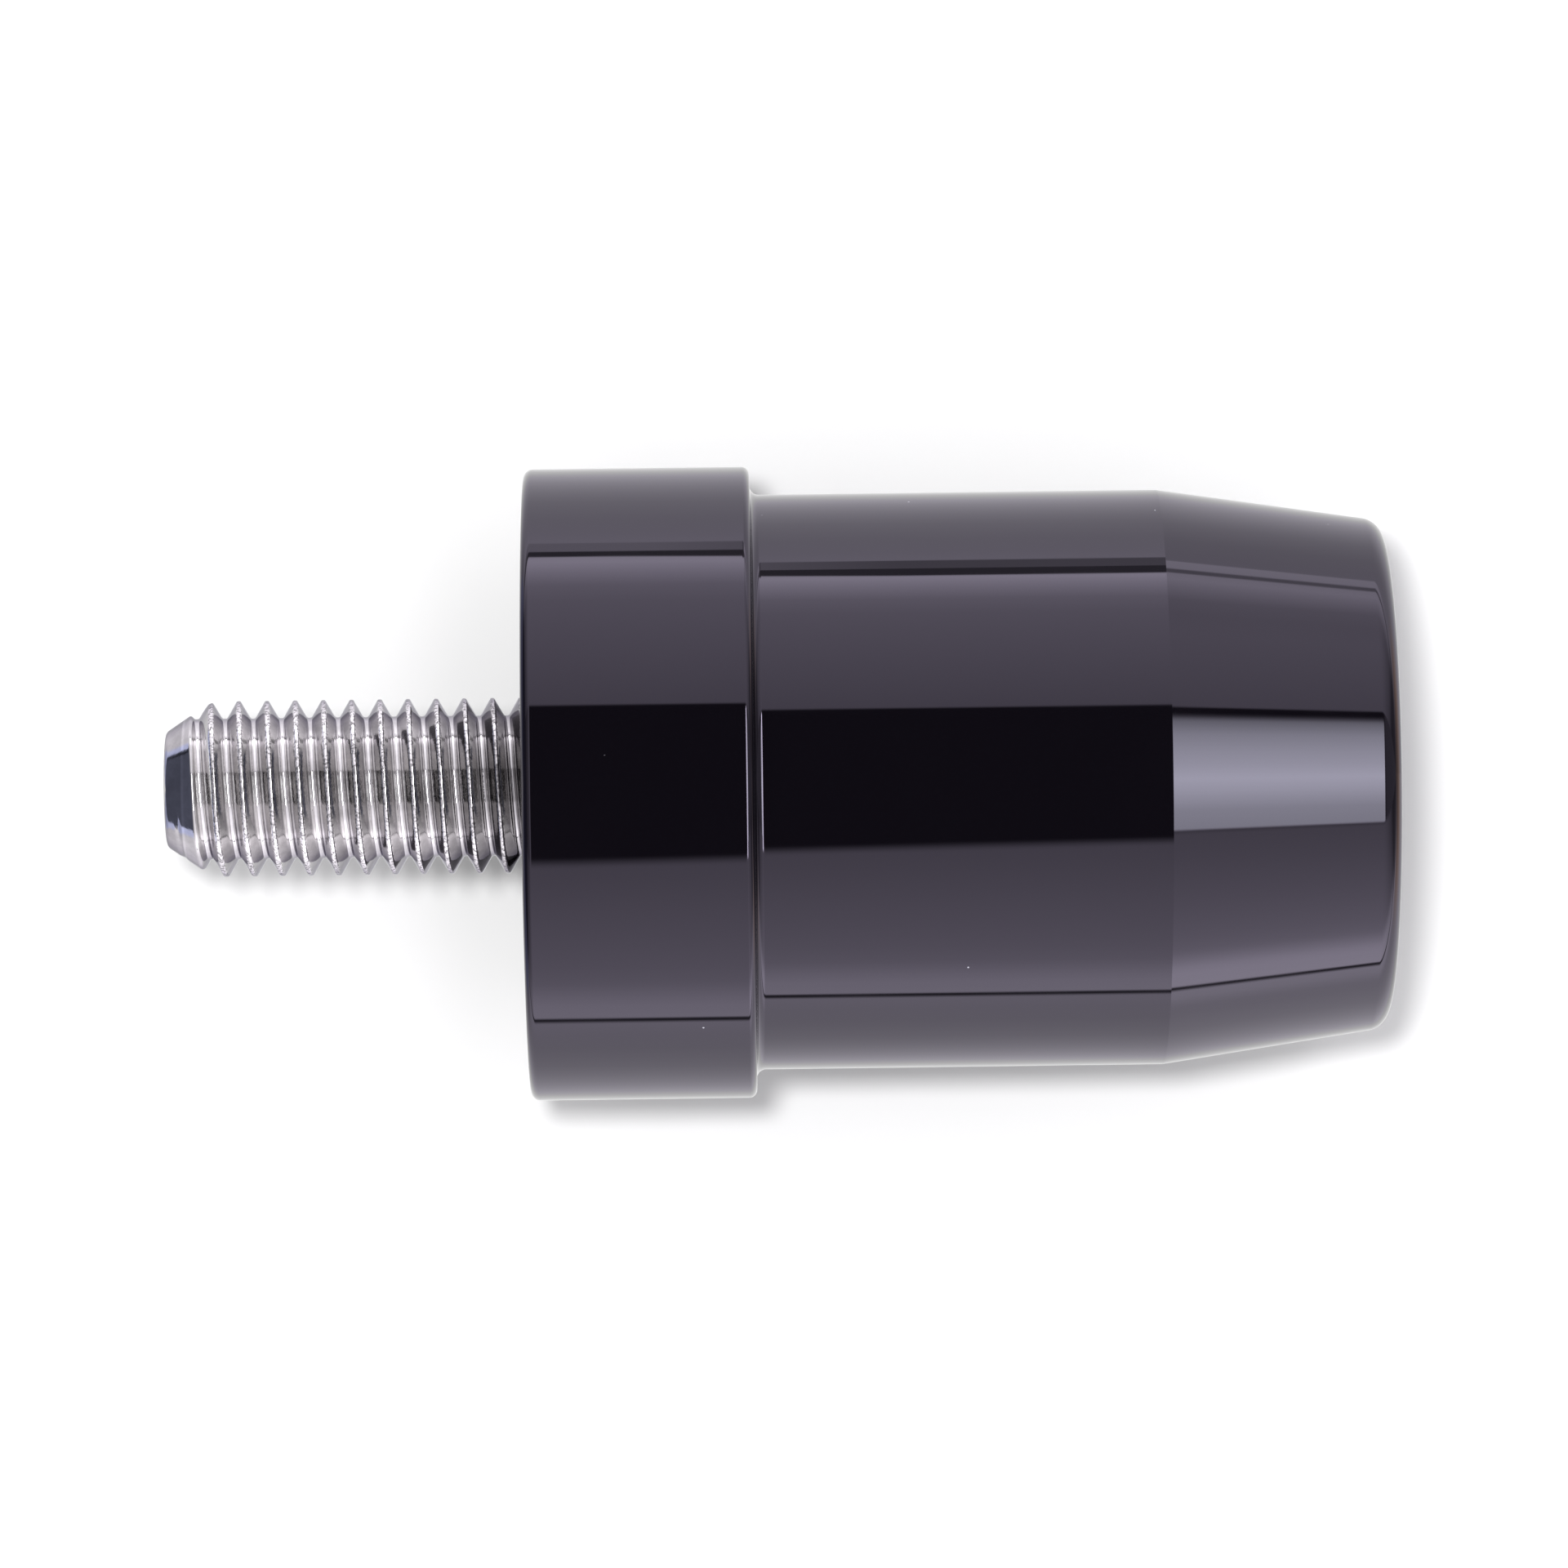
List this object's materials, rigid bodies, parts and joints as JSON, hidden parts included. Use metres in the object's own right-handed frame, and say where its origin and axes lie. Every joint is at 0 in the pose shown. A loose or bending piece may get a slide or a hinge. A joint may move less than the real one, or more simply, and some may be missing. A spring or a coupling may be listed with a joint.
{
  "type": "bar end weight",
  "caption": "Turned black handlebar end weight with a stepped collar, a straight barrel, a tapered outer end and a threaded steel stud.",
  "frame": {"origin": "centre of the flat outer end face, on which the weight stands", "axes": "+Z along the axis of the weight, from the outer end towards the tip of the stud; X and Y are any two directions across it"},
  "size_m": [0.028, 0.028, 0.054],
  "materials": {
    "black_body": "gloss",
    "stud_steel": "satin"
  },
  "bodies": {
    "root": {"weight_body": "black_body", "threaded_stud": "stud_steel"}
  },
  "joints": []
}
